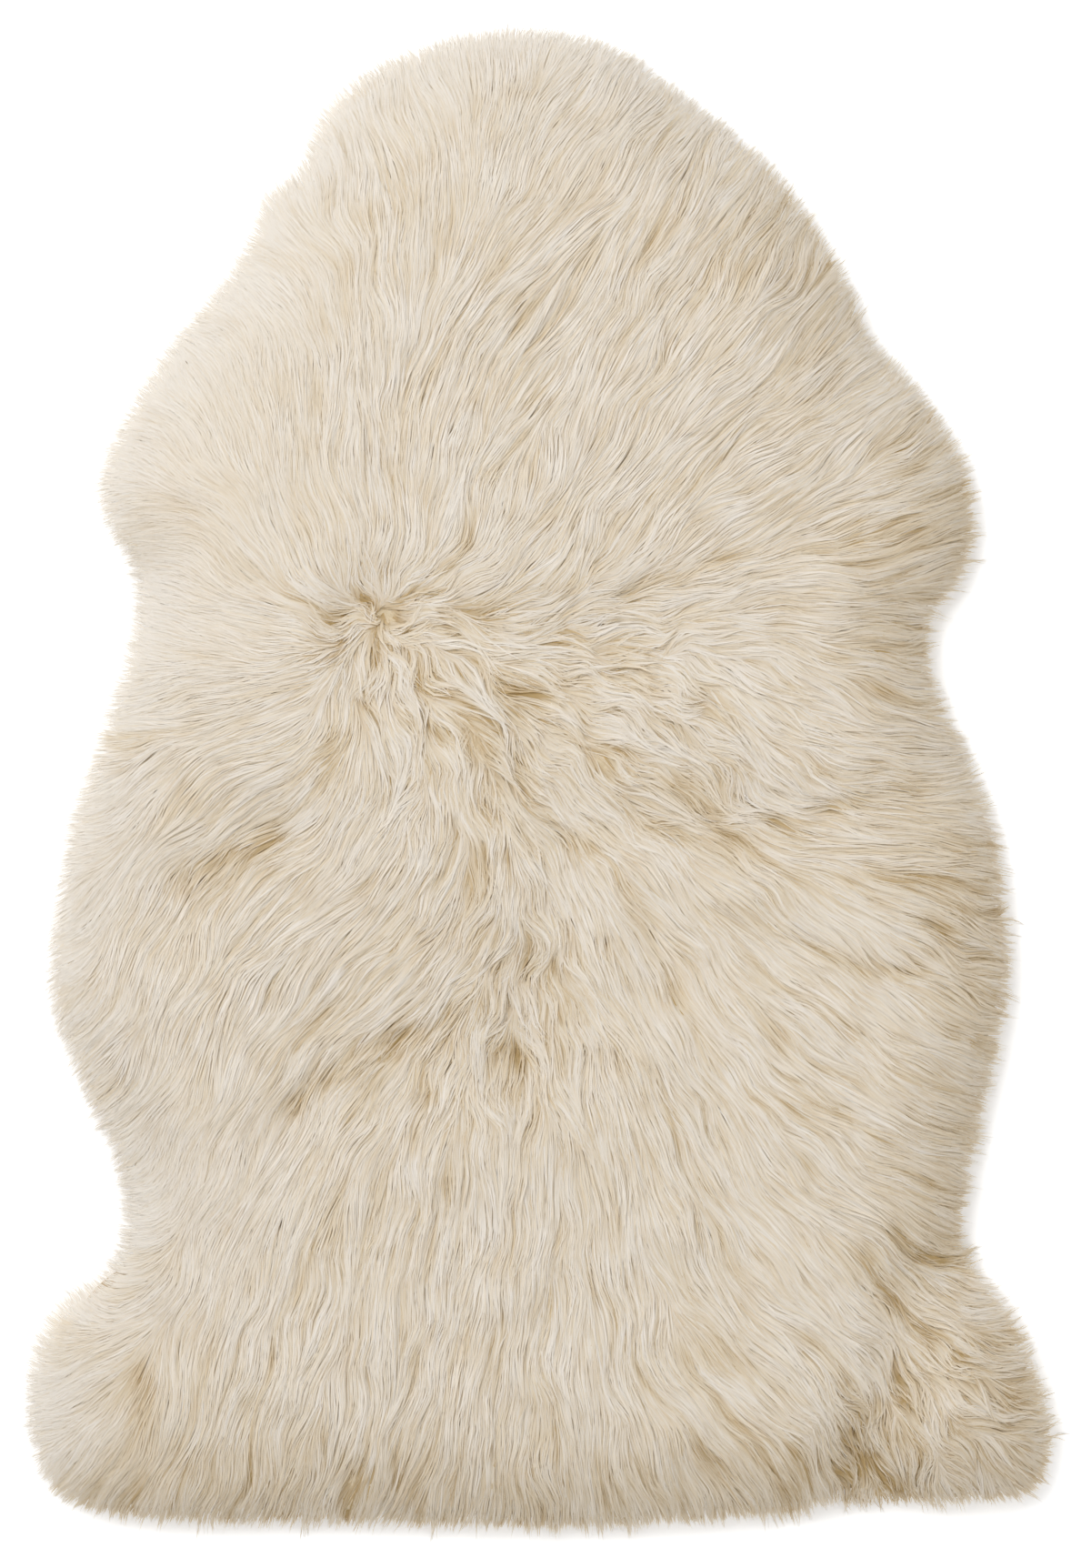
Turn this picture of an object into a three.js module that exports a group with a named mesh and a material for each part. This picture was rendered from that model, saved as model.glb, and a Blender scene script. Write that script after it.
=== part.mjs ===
// A single tanned sheepskin rug, laid flat with its wool up. Millimetres, +Z up, +Y towards the neck.
//
// The pelt is one piece: a leather skin with the wool growing from it. Its solid is the space that the
// combed wool fills, down to the flat leather face that it rests on. The wool hangs past the leather's
// edge all round, so the underside steps up from the floor there and the rim rounds over to the crown.
// The origin is on the resting face, at the middle of the pelt's box.

import * as THREE from "three";

// Driving dimensions
const CROWN = 48; // height of the combed wool in the middle of the pelt
const RIM_HEIGHT = 10; // height at which the wool reaches furthest out
const SHOULDER = 72; // how far in from the rim the wool reaches its full height
const OVERHANG = 22; // how far the wool hangs past the leather's edge
const LIP = { inset: 6, height: 1.5 }; // where the hanging wool turns under, just off the floor
const WOOL_COLOUR = 0xdccfba;

// Where the wool reaches, clockwise from the neck. Legs are the four lobes left by the animal's legs.
const OUTLINE = [
  { place: "neck", x: -22, y: 449 },
  { place: "neck", x: 14, y: 446 },
  { place: "neck", x: 46, y: 437 },
  { place: "right shoulder", x: 77, y: 416 },
  { place: "right shoulder", x: 110, y: 391 },
  { place: "right shoulder", x: 142, y: 362 },
  { place: "right shoulder", x: 168, y: 327 },
  { place: "right shoulder", x: 187, y: 292 },
  { place: "right shoulder", x: 202, y: 259 },
  { place: "right foreleg", x: 226, y: 236 },
  { place: "right foreleg", x: 246, y: 206 },
  { place: "right foreleg", x: 258, y: 180 },
  { place: "right foreleg", x: 260, y: 147 },
  { place: "right foreleg", x: 251, y: 116 },
  { place: "right waist", x: 236, y: 94 },
  { place: "right waist", x: 236, y: 66 },
  { place: "right flank", x: 251, y: 24 },
  { place: "right flank", x: 268, y: -14 },
  { place: "right flank", x: 276, y: -50 },
  { place: "right flank", x: 281, y: -88 },
  { place: "right flank", x: 282, y: -122 },
  { place: "right flank", x: 267, y: -192 },
  { place: "right notch", x: 257, y: -240 },
  { place: "right notch", x: 255, y: -278 },
  { place: "right hind leg", x: 280, y: -312 },
  { place: "right hind leg", x: 299, y: -352 },
  { place: "right hind leg", x: 307, y: -396 },
  { place: "right hind leg", x: 294, y: -427 },
  { place: "right hind leg", x: 250, y: -435 },
  { place: "rump", x: 190, y: -433 },
  { place: "rump", x: 142, y: -441 },
  { place: "rump", x: 22, y: -449 },
  { place: "rump", x: -120, y: -446 },
  { place: "left hind leg", x: -240, y: -444 },
  { place: "left hind leg", x: -284, y: -434 },
  { place: "left hind leg", x: -303, y: -410 },
  { place: "left hind leg", x: -309, y: -371 },
  { place: "left hind leg", x: -305, y: -338 },
  { place: "left hind leg", x: -288, y: -311 },
  { place: "left hind leg", x: -261, y: -292 },
  { place: "left notch", x: -252, y: -268 },
  { place: "left notch", x: -254, y: -238 },
  { place: "left flank", x: -279, y: -180 },
  { place: "left flank", x: -294, y: -138 },
  { place: "left flank", x: -296, y: -106 },
  { place: "left flank", x: -290, y: -60 },
  { place: "left flank", x: -282, y: -20 },
  { place: "left waist", x: -266, y: 24 },
  { place: "left waist", x: -252, y: 70 },
  { place: "left waist", x: -245, y: 98 },
  { place: "left waist", x: -246, y: 122 },
  { place: "left foreleg", x: -262, y: 150 },
  { place: "left foreleg", x: -266, y: 176 },
  { place: "left foreleg", x: -257, y: 205 },
  { place: "left foreleg", x: -236, y: 242 },
  { place: "left shoulder", x: -208, y: 279 },
  { place: "left shoulder", x: -190, y: 300 },
  { place: "left shoulder", x: -176, y: 325 },
  { place: "left shoulder", x: -166, y: 350 },
  { place: "left shoulder", x: -148, y: 364 },
  { place: "left shoulder", x: -131, y: 402 },
  { place: "neck", x: -100, y: 427 },
  { place: "neck", x: -58, y: 443 },
];

// Soft troughs in the wool, each along a line: its two ends, its depth and how far its sides slope.
const TROUGHS = [
  { place: "shoulder whorl", x0: -104, y0: 94, x1: -92, y1: 92, depth: 9, slope: 30 },
  { place: "parting beside it", x0: -80, y0: 96, x1: 62, y1: 88, depth: 5, slope: 26 },
  { place: "loin whorl", x0: -9, y0: -108, x1: -13, y1: -160, depth: 8, slope: 30 },
  { place: "parting beside it", x0: -30, y0: -138, x1: -140, y1: -194, depth: 5, slope: 30 },
  { place: "right flank ledge", x0: 10, y0: -24, x1: 262, y1: -14, depth: 5, slope: 24 },
  { place: "right flank hollow", x0: 74, y0: -86, x1: 240, y1: -120, depth: 4, slope: 26 },
  { place: "left flank hollow", x0: -168, y0: -32, x1: -222, y1: -74, depth: 7, slope: 28 },
  { place: "right leg crease", x0: 226, y0: -298, x1: 190, y1: -404, depth: 9, slope: 26 },
  { place: "left leg crease", x0: -238, y0: -320, x1: -234, y1: -392, depth: 5, slope: 26 },
  { place: "neck crease", x0: -88, y0: 408, x1: 24, y1: 402, depth: 3, slope: 22 },
];

// The solid's mesh runs in rings from the rim to a core, half as wide as the pelt, and from the core to a
// line down the middle, the spine.
const AROUND = 176; // points in each ring
const CORE = { across: 0.5, along: 0.8 }; // the core's outline, as shares of the pelt's
const RIM_INSETS = [2, 5, 10, 17, 26, 38, 54]; // rings this far in from the rim
const CORE_SHARES = [0.25, 0.5, 0.75, 1]; // rings at these shares of the way on to the core
const SPINE_SHARES = [0.17, 0.34, 0.51, 0.68, 0.85]; // and from the core to the spine
const SPINE = { tail: -250, neck: 210, steps: 13 };

// The rim, evenly spaced points clockwise, moved so that the middle of their box is the origin.
function rimPoints() {
  const corners = OUTLINE.map(({ x, y }) => new THREE.Vector3(x, y, 0));
  const curve = new THREE.CatmullRomCurve3(corners, true, "centripetal");
  const points = curve.getSpacedPoints(AROUND).slice(0, AROUND);
  const middle = new THREE.Box3().setFromPoints(points).getCenter(new THREE.Vector3());
  return points.map((p) => new THREE.Vector2(p.x - middle.x, p.y - middle.y));
}

function distanceToLine(p, a, b) {
  const along = b.clone().sub(a);
  const share = THREE.MathUtils.clamp(p.clone().sub(a).dot(along) / along.lengthSq(), 0, 1);
  return p.distanceTo(a.clone().addScaledVector(along, share));
}

function distanceToRim(p, rim) {
  return Math.min(...rim.map((a, i) => distanceToLine(p, a, rim[(i + 1) % rim.length])));
}

// How far the troughs sink the wool at p.
function dip(p) {
  const sinks = TROUGHS.map(({ x0, y0, x1, y1, depth, slope }) => {
    const away = distanceToLine(p, new THREE.Vector2(x0, y0), new THREE.Vector2(x1, y1));
    return depth * Math.exp(-((away / slope) ** 2));
  });
  return Math.max(...sinks);
}

// The height of the wool at p: a quarter round from the rim to the crown, less the troughs.
function woolHeight(p, rim) {
  const toShoulder = 1 - Math.min(distanceToRim(p, rim) / SHOULDER, 1);
  const round = Math.sqrt(1 - toShoulder ** 2);
  return RIM_HEIGHT + (CROWN - RIM_HEIGHT - dip(p)) * round;
}

// The spine's point nearest to p, as its number from the tail.
function spineNumber(p) {
  const share = (p.y - SPINE.tail) / (SPINE.neck - SPINE.tail);
  return Math.round(THREE.MathUtils.clamp(share, 0, 1) * SPINE.steps);
}

function spinePoint(number) {
  return new THREE.Vector2(0, THREE.MathUtils.lerp(SPINE.tail, SPINE.neck, number / SPINE.steps));
}

// Each point of a ring, moved some way to its point on the core or on the spine.
function towardsCore(ring, rim, distance) {
  return ring.map((p, i) => {
    const corePoint = new THREE.Vector2(rim[i].x * CORE.across, rim[i].y * CORE.along);
    return p.clone().lerp(corePoint, distance(p.distanceTo(corePoint)));
  });
}

function towardsSpine(ring, share) {
  return ring.map((p) => {
    const foot = new THREE.Vector2(0, THREE.MathUtils.clamp(p.y, SPINE.tail, SPINE.neck));
    return p.clone().lerp(foot, share);
  });
}

function insetRing(rim, inset) {
  return towardsCore(rim, rim, (whole) => inset / whole);
}

// The pelt's closed surface, from its resting face out to the rim and over the crown.
function peltGeometry() {
  const rim = rimPoints();
  const positions = [];
  const indices = [];
  const addPoint = (p, z) => {
    positions.push(p.x, p.y, z);
    return positions.length / 3 - 1;
  };
  const addRing = (points, heightAt) => points.map((p) => addPoint(p, heightAt(p)));
  const addSpine = (heightAt) =>
    Array.from({ length: SPINE.steps + 1 }, (_, i) => addPoint(spinePoint(i), heightAt(spinePoint(i))));

  // Faces between two rings. The rings run clockwise, and "over" is the one further over the top.
  const joinRings = (under, over) => {
    under.forEach((a, i) => {
      const next = (i + 1) % AROUND;
      indices.push(a, over[next], under[next], a, over[i], over[next]);
    });
  };
  // Faces between a ring and the spine inside it.
  const joinSpine = (ring, spine, feet, facesUp) => {
    ring.forEach((a, i) => {
      const next = (i + 1) % AROUND;
      const corners = [[a, spine[feet[i]], ring[next]]];
      if (feet[i] !== feet[next]) corners.push([spine[feet[i]], spine[feet[next]], ring[next]]);
      corners.forEach(([p, q, r]) => indices.push(...(facesUp ? [p, q, r] : [r, q, p])));
    });
  };

  const flat = () => 0;
  const onTop = (p) => woolHeight(p, rim);
  const shoulder = insetRing(rim, RIM_INSETS.at(-1));
  const core = towardsCore(rim, rim, () => 1);
  const rings = [
    addRing(insetRing(rim, OVERHANG), flat),
    addRing(insetRing(rim, LIP.inset), () => LIP.height),
    addRing(rim, () => RIM_HEIGHT),
    ...RIM_INSETS.map((inset) => addRing(insetRing(rim, inset), onTop)),
    ...CORE_SHARES.map((share) => addRing(towardsCore(shoulder, rim, () => share), onTop)),
    ...SPINE_SHARES.map((share) => addRing(towardsSpine(core, share), onTop)),
  ];
  rings.slice(1).forEach((over, i) => joinRings(rings[i], over));
  const feet = core.map(spineNumber);
  joinSpine(rings[0], addSpine(flat), feet, false);
  joinSpine(rings.at(-1), addSpine(onTop), feet, true);

  const geometry = new THREE.BufferGeometry();
  geometry.setAttribute("position", new THREE.Float32BufferAttribute(positions, 3));
  geometry.setIndex(indices);
  geometry.computeVertexNormals();
  return geometry;
}

const wool = new THREE.MeshStandardMaterial({ color: WOOL_COLOUR, roughness: 0.95, metalness: 0 });
const pelt = new THREE.Mesh(peltGeometry(), wool);
pelt.name = "pelt";

const group = new THREE.Group();
group.add(pelt);
export default group;
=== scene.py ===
"""A natural sheepskin rug, laid flat with its wool up.

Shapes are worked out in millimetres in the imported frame: +Z up, +Y towards the neck, and the origin on the
floor under the middle of the pelt. Meshes are written in metres. Headings are in degrees in the plane of the
floor: 0 to the right, 90 towards the neck, 270 towards the tail.
"""
import math

import bpy
import numpy as np
from mathutils.kdtree import KDTree
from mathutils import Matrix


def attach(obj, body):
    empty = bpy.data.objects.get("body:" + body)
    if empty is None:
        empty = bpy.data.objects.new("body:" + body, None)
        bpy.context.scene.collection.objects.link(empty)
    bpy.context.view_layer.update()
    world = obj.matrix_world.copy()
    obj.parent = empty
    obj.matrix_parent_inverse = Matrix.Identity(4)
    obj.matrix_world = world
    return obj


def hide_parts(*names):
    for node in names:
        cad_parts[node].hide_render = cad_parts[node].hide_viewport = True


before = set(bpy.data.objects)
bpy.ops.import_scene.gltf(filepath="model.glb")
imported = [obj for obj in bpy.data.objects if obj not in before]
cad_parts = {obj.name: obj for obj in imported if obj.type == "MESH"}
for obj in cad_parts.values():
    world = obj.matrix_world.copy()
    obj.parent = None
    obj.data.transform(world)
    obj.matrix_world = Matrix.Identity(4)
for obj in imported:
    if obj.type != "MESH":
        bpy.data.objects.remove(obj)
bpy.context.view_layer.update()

MM = 0.001
SEED = 20
rng = np.random.default_rng(SEED)

# -------- the pelt's sizes

CROWN = 48.0  # height of the combed wool in the middle of the pelt
RIM_HEIGHT = 10.0  # height at which the wool reaches furthest out
SHOULDER = 72.0  # how far in from the rim the wool reaches its full height
OVERHANG = 22.0  # how far the wool hangs past the leather's edge
SKIN = 2.4  # thickness of the leather
WOOL_DEPTH = 3.0  # how far under the wool's surface its undercoat closes up
SWELL = 0.8  # how much the wool's surface swells and sinks at random
DROOP = 0.9  # how far the wool hangs down for each millimetre past the rim
CORE = (0.5, 0.8)  # the outline of the pelt's core, as shares of the rim's

# Where the wool reaches, clockwise from the neck, as (x, y).
OUTLINE = (
    # neck and right shoulder
    (-22, 449), (14, 446), (46, 437), (77, 416), (110, 391), (142, 362), (168, 327), (187, 292), (202, 259),
    # right foreleg and waist
    (226, 236), (246, 206), (258, 180), (260, 147), (251, 116), (236, 94), (236, 66),
    # right flank and notch
    (251, 24), (268, -14), (276, -50), (281, -88), (282, -122), (267, -192), (257, -240), (255, -278),
    # right hind leg
    (280, -312), (299, -352), (307, -396), (294, -427), (250, -435),
    # rump
    (190, -433), (142, -441), (22, -449), (-120, -446),
    # left hind leg
    (-240, -444), (-284, -434), (-303, -410), (-309, -371), (-305, -338), (-288, -311), (-261, -292),
    # left notch, flank and waist
    (-252, -268), (-254, -238), (-279, -180), (-294, -138), (-296, -106), (-290, -60), (-282, -20),
    (-266, 24), (-252, 70), (-245, 98), (-246, 122),
    # left foreleg, shoulder and back to the neck
    (-262, 150), (-266, 176), (-257, 205), (-236, 242), (-208, 279), (-190, 300), (-176, 325), (-166, 350),
    (-148, 364), (-131, 402), (-100, 427), (-58, 443),
)

# Soft troughs in the wool, painted a little darker as shade: x and y of the two ends, the depth, and how far
# the sides slope.
TROUGHS = (
    (-104, 94, -92, 92, 9, 30),  # shoulder whorl
    (-80, 96, 62, 88, 5, 26),  # parting beside it
    (-9, -108, -13, -160, 8, 30),  # loin whorl
    (-30, -138, -140, -194, 5, 30),  # parting beside it
    (10, -24, 262, -14, 5, 24),  # right flank ledge
    (74, -86, 240, -120, 4, 26),  # right flank hollow
    (-168, -32, -222, -74, 7, 28),  # left flank hollow
    (226, -298, 190, -404, 9, 26),  # right leg crease
    (-238, -320, -234, -392, 5, 26),  # left leg crease
    (-88, 408, 24, 402, 3, 22),  # neck crease
)

# Narrow creases between locks, where the strands sink and are painted yellower and darker, partly as the
# fleece's inside and partly as shade: x and y of the two ends, the depth, and how far the sides slope.
CREASES = (
    # shoulder whorl
    (-111, 111, -101, 103, 4.5, 3), (-101, 103, -93, 95, 5, 2.5), (-89, 101, -81, 108, 4.5, 3),
    (-77, 111, -66, 110, 4, 2.5), (-116, 101, -123, 93, 3.5, 3), (-97, 91, -98, 74, 4.5, 3),
    (-86, 92, -78, 88, 3.5, 2.5), (-51, 101, -30, 99, 3, 3.5), (-142, 76, -120, 80, 2.5, 5),
    # curls below it
    (-106, 48, -101, 38, 3, 4.5), (-78, 59, -66, 62, 2.5, 4), (-24, 56, 2, 53, 3.5, 6),
    (-20, 38, 2, 41, 3, 5), (-16, 32, 12, 33, 3, 4), (45, 62, 68, 53, 2.5, 4),
    (-33, 8, -28, -6, 2.5, 4), (20, 30, 40, 22, 2.5, 4), (-14, 16, -10, -4, 3.5, 8),
    (-74, 33, -56, 24, 2.5, 5), (-38, -12, -28, -18, 3, 6), (-124, 24, -128, -2, 2, 7),
    (50, 113, 66, 119, 2.5, 5), (108, 12, 104, -4, 2.5, 7), (64, 36, 84, 26, 2.5, 6),
    (92, 44, 112, 30, 2.5, 6),
    # right flank ledge
    (12, -32, 28, -40, 4, 6), (60, -25, 86, -32, 3, 6), (96, -26, 116, -34, 2.5, 6),
    (136, -22, 154, -33, 4, 6), (166, -16, 190, -12, 3.5, 6), (190, -12, 220, -6, 3, 7),
    # right flank hollow
    (106, -78, 132, -84, 2.5, 8), (163, -100, 190, -110, 3, 6), (196, -112, 220, -112, 3, 5),
    (228, -84, 240, -90, 3, 6), (98, -128, 104, -136, 2, 6), (34, -92, 40, -102, 2.5, 6),
    (74, -120, 80, -128, 2.5, 6), (44, -160, 50, -170, 2.5, 6),
    # loin whorl
    (-9, -102, -9, -111, 6, 3.4), (-60, -84, -70, -104, 2.5, 6), (-112, -160, -70, -146, 3.5, 5),
    (-134, -176, -92, -162, 3, 5), (-146, -192, -130, -176, 3, 5), (-60, -154, -52, -138, 3, 5),
    (-136, -146, -128, -138, 2.5, 7), (-16, -158, -12, -172, 4.5, 2.6),
    # left flank hollow
    (-212, -58, -160, -34, 3.5, 12),
    # right hind leg
    (207, -264, 218, -280, 4, 5), (218, -280, 240, -284, 4.5, 4), (191, -278, 198, -294, 3.5, 6),
    (198, -294, 204, -310, 3, 6), (226, -326, 232, -334, 3.5, 5), (228, -354, 246, -340, 2.5, 6),
    (210, -354, 218, -374, 4.5, 6), (188, -372, 200, -370, 4, 7), (186, -386, 192, -408, 5, 9),
    (178, -356, 190, -376, 4, 5), (180, -402, 182, -424, 3.5, 6), (202, -414, 218, -424, 3.5, 8),
    (262, -340, 276, -344, 2.5, 5), (268, -372, 288, -374, 2.5, 5), (250, -330, 262, -334, 2.5, 5),
    # left hind leg
    (-236, -346, -234, -384, 2.5, 9),
)

# How the wool is combed: bands across the pelt from neck to tail. Each has its y, and from left to right
# the places on it as (x, heading of the tips).
COMBED = (
    (415, ((-86, 115), (-43, 100), (0, 62), (44, 50), (87, 60))),
    (367, ((-119, 97), (-90, 100), (-65, 108), (-40, 90), (-21, 70), (22, 50), (66, 60), (115, 60))),
    (322, ((-146, 135), (-108, 100), (-65, 85), (-21, 50), (30, 52), (66, 62), (109, 58), (153, 62))),
    (280, ((-190, 150), (-151, 130), (-108, 103), (-65, 72), (-21, 46), (11, 52), (44, 67), (87, 56),
        (131, 56), (174, 62))),
    (238, ((-228, 140), (-190, 118), (-151, 88), (-108, 86), (-65, 73), (-21, 58), (44, 62), (87, 51),
        (131, 40), (163, 34), (196, 37))),
    (195, ((-255, 190), (-222, 135), (-190, 116), (-146, 95), (-103, 100), (-65, 78), (-21, 66),
        (22, 68), (55, 56), (93, 46), (131, 28), (169, 46), (201, 32), (239, 38))),
    (151, ((-249, 185), (-211, 178), (-173, 122), (-141, 106), (-103, 98), (-65, 88), (-21, 68),
        (11, 57), (44, 63), (77, 46), (109, 32), (153, 24), (196, 15), (245, 20))),
    (119, ((-236, 155), (-195, 150), (-162, 125), (-135, 130), (-108, 95), (-84, 55), (-54, 33),
        (-10, 43), (28, 45), (55, 33), (98, 20), (142, 10), (174, -2), (207, 10), (239, 25))),
    (94, ((-233, 158), (-195, 165), (-157, 163), (-127, 175), (-106, 190), (-88, -10), (-59, -18),
        (-21, 3), (22, 11), (66, 5), (109, 2), (153, -12), (191, 0), (223, 10))),
    (72, ((-244, 172), (-200, 180), (-162, 186), (-135, 208), (-108, 250), (-97, 270), (-86, 280),
        (-65, 310), (-37, 326), (-5, 356), (39, 352), (77, 345), (109, 350), (136, 338), (174, 340),
        (218, 354))),
    (40, ((-244, 188), (-206, 200), (-168, 185), (-146, 205), (-130, 245), (-108, 274), (-86, 310),
        (-54, 315), (-21, 322), (11, 338), (49, 332), (87, 322), (115, 318), (142, 328), (180, 335),
        (223, 347))),
    (8, ((-260, 215), (-228, 220), (-195, 220), (-162, 197), (-135, 230), (-108, 255), (-81, 270),
        (-54, 295), (-21, 300), (1, 318), (33, 324), (71, 325), (104, 310), (125, 298), (153, 325),
        (185, 352), (234, 364))),
    (-29, ((-266, 200), (-233, 232), (-195, 222), (-157, 205), (-124, 235), (-92, 247), (-59, 262),
        (-32, 280), (-10, 312), (22, 323), (66, 328), (109, 332), (142, 342), (174, 356), (218, 360),
        (256, 345))),
    (-66, ((-276, 225), (-244, 240), (-211, 235), (-173, 230), (-141, 217), (-108, 228), (-81, 242),
        (-54, 250), (-27, 275), (1, 292), (28, 288), (55, 303), (87, 317), (131, 327), (180, 332),
        (223, 345), (264, 342))),
    (-98, ((-282, 235), (-249, 247), (-217, 252), (-179, 235), (-135, 230), (-92, 228), (-54, 232),
        (-27, 228), (-9, 262), (4, 290), (28, 300), (66, 298), (98, 305), (136, 320), (180, 324),
        (223, 328), (264, 335))),
    (-139, ((-271, 225), (-233, 250), (-195, 250), (-151, 236), (-113, 227), (-86, 217), (-59, 242),
        (-32, 262), (1, 285), (33, 290), (71, 300), (109, 310), (147, 325), (180, 313), (218, 322),
        (261, 340))),
    (-187, ((-260, 227), (-222, 248), (-179, 248), (-135, 238), (-103, 235), (-70, 252), (-32, 268),
        (11, 275), (49, 288), (87, 297), (125, 307), (158, 325), (196, 330), (245, 343))),
    (-240, ((-241, 205), (-211, 248), (-168, 240), (-124, 250), (-86, 257), (-54, 270), (1, 270),
        (49, 285), (93, 290), (125, 305), (158, 318), (196, 330), (239, 339))),
    (-288, ((-268, 165), (-238, 195), (-206, 252), (-162, 254), (-113, 268), (-70, 256), (-21, 260),
        (28, 272), (66, 282), (98, 302), (136, 312), (174, 313), (207, 310), (239, 335))),
    (-328, ((-304, 160), (-282, 180), (-255, 195), (-228, 250), (-190, 255), (-141, 255), (-92, 265),
        (-32, 260), (22, 270), (60, 283), (93, 302), (136, 318), (174, 317), (212, 310), (245, 330),
        (283, 347))),
    (-366, ((-293, 215), (-260, 220), (-236, 256), (-195, 262), (-146, 252), (-103, 267), (-65, 256),
        (-16, 270), (28, 278), (66, 296), (104, 318), (147, 318), (180, 300), (212, 290), (239, 306),
        (267, 340), (299, 355))),
    (-408, ((-276, 227), (-238, 240), (-195, 255), (-146, 262), (-108, 250), (-70, 247), (-32, 265),
        (11, 278), (55, 286), (98, 300), (136, 308), (174, 287), (212, 294), (245, 312), (283, 318))),
    (-435, ((-260, 235), (-173, 242), (-86, 244), (-21, 268), (44, 282), (109, 298), (174, 285),
        (239, 318))),
)

# What the wool is like away from its plain combed state: x and y of the middle, the reach, then how fluffy
# it is from 0 to 1, how curly from 0 to 1, and its length as a share of the usual.
CHARACTER = (
    (-215, 240, 75, 0.9, 0, 0.8),  # left shoulder
    (-160, 290, 55, 0.8, 0, 0.8),  # left of the neck
    (-235, 150, 60, 0.95, 0, 0.7),  # left foreleg
    (-215, 80, 50, 0.8, 0.05, 0.75),  # left waist
    (-270, -40, 50, 0.7, 0, 0.75),  # left flank
    (-280, -120, 45, 0.7, 0, 0.75),
    (-225, -240, 60, 0.9, 0, 0.85),  # left notch
    (-285, -370, 50, 0.9, 0, 0.7),  # left hind leg
    (-40, 430, 80, 0.7, 0, 0.7),  # neck edge
    (-100, 92, 26, 0, 2, 0.5),  # shoulder whorl
    (-60, 45, 55, 0, 1, 0.85),  # curls under it
    (30, 50, 70, 0, 1, 0.9),
    (110, 20, 50, 0, 0.75, 0.9),
    (-20, -60, 45, 0, 0.5, 0.8),
    (-5, -106, 26, 0.05, 0.9, 0.5),  # loin whorl
    (-30, -150, 45, 0, 0.8, 0.8),
    (240, -360, 60, 0.1, 0.85, 0.75),  # right hind leg
    (195, -390, 40, 0, 0.9, 0.75),
    (270, -90, 40, 0.1, 0.4, 0.75),  # right flank edge
)
PLAIN = (0.08, 0.15, 1.0)  # fluff, curl and length share of the combed wool elsewhere
PULL = 3.0  # how many times the plain state's weight a place has at its middle

# -------- fields over the pelt


def smooth_loop(corners, per_corner=8):
    """A closed centripetal Catmull-Rom curve through the corners."""
    p = np.asarray(corners, float)
    p0, p1, p2, p3 = np.roll(p, 1, 0), p, np.roll(p, -1, 0), np.roll(p, -2, 0)

    def knot(a, b):
        return np.sqrt(np.linalg.norm(b - a, axis=1))[:, None]

    t1 = knot(p0, p1)
    t2 = t1 + knot(p1, p2)
    t3 = t2 + knot(p2, p3)
    rows = []
    for share in np.arange(per_corner) / per_corner:
        t = t1 + (t2 - t1) * share
        a1 = (t1 - t) / t1 * p0 + t / t1 * p1
        a2 = (t2 - t) / (t2 - t1) * p1 + (t - t1) / (t2 - t1) * p2
        a3 = (t3 - t) / (t3 - t2) * p2 + (t - t2) / (t3 - t2) * p3
        b1 = (t2 - t) / t2 * a1 + t / t2 * a2
        b2 = (t3 - t) / (t3 - t1) * a2 + (t - t1) / (t3 - t1) * a3
        rows.append((t2 - t) / (t2 - t1) * b1 + (t - t1) / (t2 - t1) * b2)
    return np.stack(rows, axis=1).reshape(-1, 2)


def to_segment(points, a, b):
    """Distance from each point to the line from a to b."""
    along = b - a
    share = np.clip((points - a) @ along / (along @ along), 0, 1)
    return np.linalg.norm(points - a - share[..., None] * along, axis=-1)


RIM = smooth_loop(OUTLINE)
MIDDLE = (RIM.max(0) + RIM.min(0)) / 2
RIM = RIM - MIDDLE


class Grid:
    """Values on a grid over the pelt, read between its nodes."""

    CELL = 2.0
    LOW = np.array([-352.0, -492.0])
    SHAPE = (353, 493)

    @classmethod
    def nodes(cls):
        ij = np.stack(np.meshgrid(*(np.arange(n) for n in cls.SHAPE), indexing="ij"), axis=-1)
        return cls.LOW + ij * cls.CELL

    def __init__(self, values):
        self.values = np.asarray(values, float)

    def __call__(self, points):
        at = (points - self.LOW) / self.CELL
        at = np.clip(at, 0, np.array(self.SHAPE) - 1.001)
        i, j = at[..., 0].astype(int), at[..., 1].astype(int)
        u, v = at[..., 0] - i, at[..., 1] - j
        if self.values.ndim == 3:
            u, v = u[..., None], v[..., None]
        a, b = self.values[i, j], self.values[i + 1, j]
        c, d = self.values[i, j + 1], self.values[i + 1, j + 1]
        return (a * (1 - u) + b * u) * (1 - v) + (c * (1 - u) + d * u) * v

    def blurred(self, passes):
        v = self.values
        for _ in range(passes):
            for axis in (0, 1):
                v = (np.roll(v, 1, axis) + 2 * v + np.roll(v, -1, axis)) / 4
        return Grid(v)


def depth_inside(points):
    """How far inside the rim each point is, negative outside."""
    closest = np.full(points.shape[:-1], np.inf)
    inside = np.zeros(points.shape[:-1], bool)
    for a, b in zip(RIM, np.roll(RIM, -1, 0)):
        closest = np.minimum(closest, to_segment(points, a, b))
        crosses = (a[1] > points[..., 1]) != (b[1] > points[..., 1])
        rise = b[1] - a[1] if b[1] != a[1] else 1.0
        inside ^= crosses & (points[..., 0] < a[0] + (points[..., 1] - a[1]) / rise * (b[0] - a[0]))
    return np.where(inside, closest, -closest)


def sinks(points, lines):
    """How far the lines of a table such as TROUGHS sink the wool at each point."""
    deepest = np.zeros(points.shape[:-1])
    for x0, y0, x1, y1, depth, slope in lines:
        away = to_segment(points, np.array([x0, y0]), np.array([x1, y1]))
        deepest = np.maximum(deepest, depth * np.exp(-((away / slope) ** 2)))
    return deepest


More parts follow.
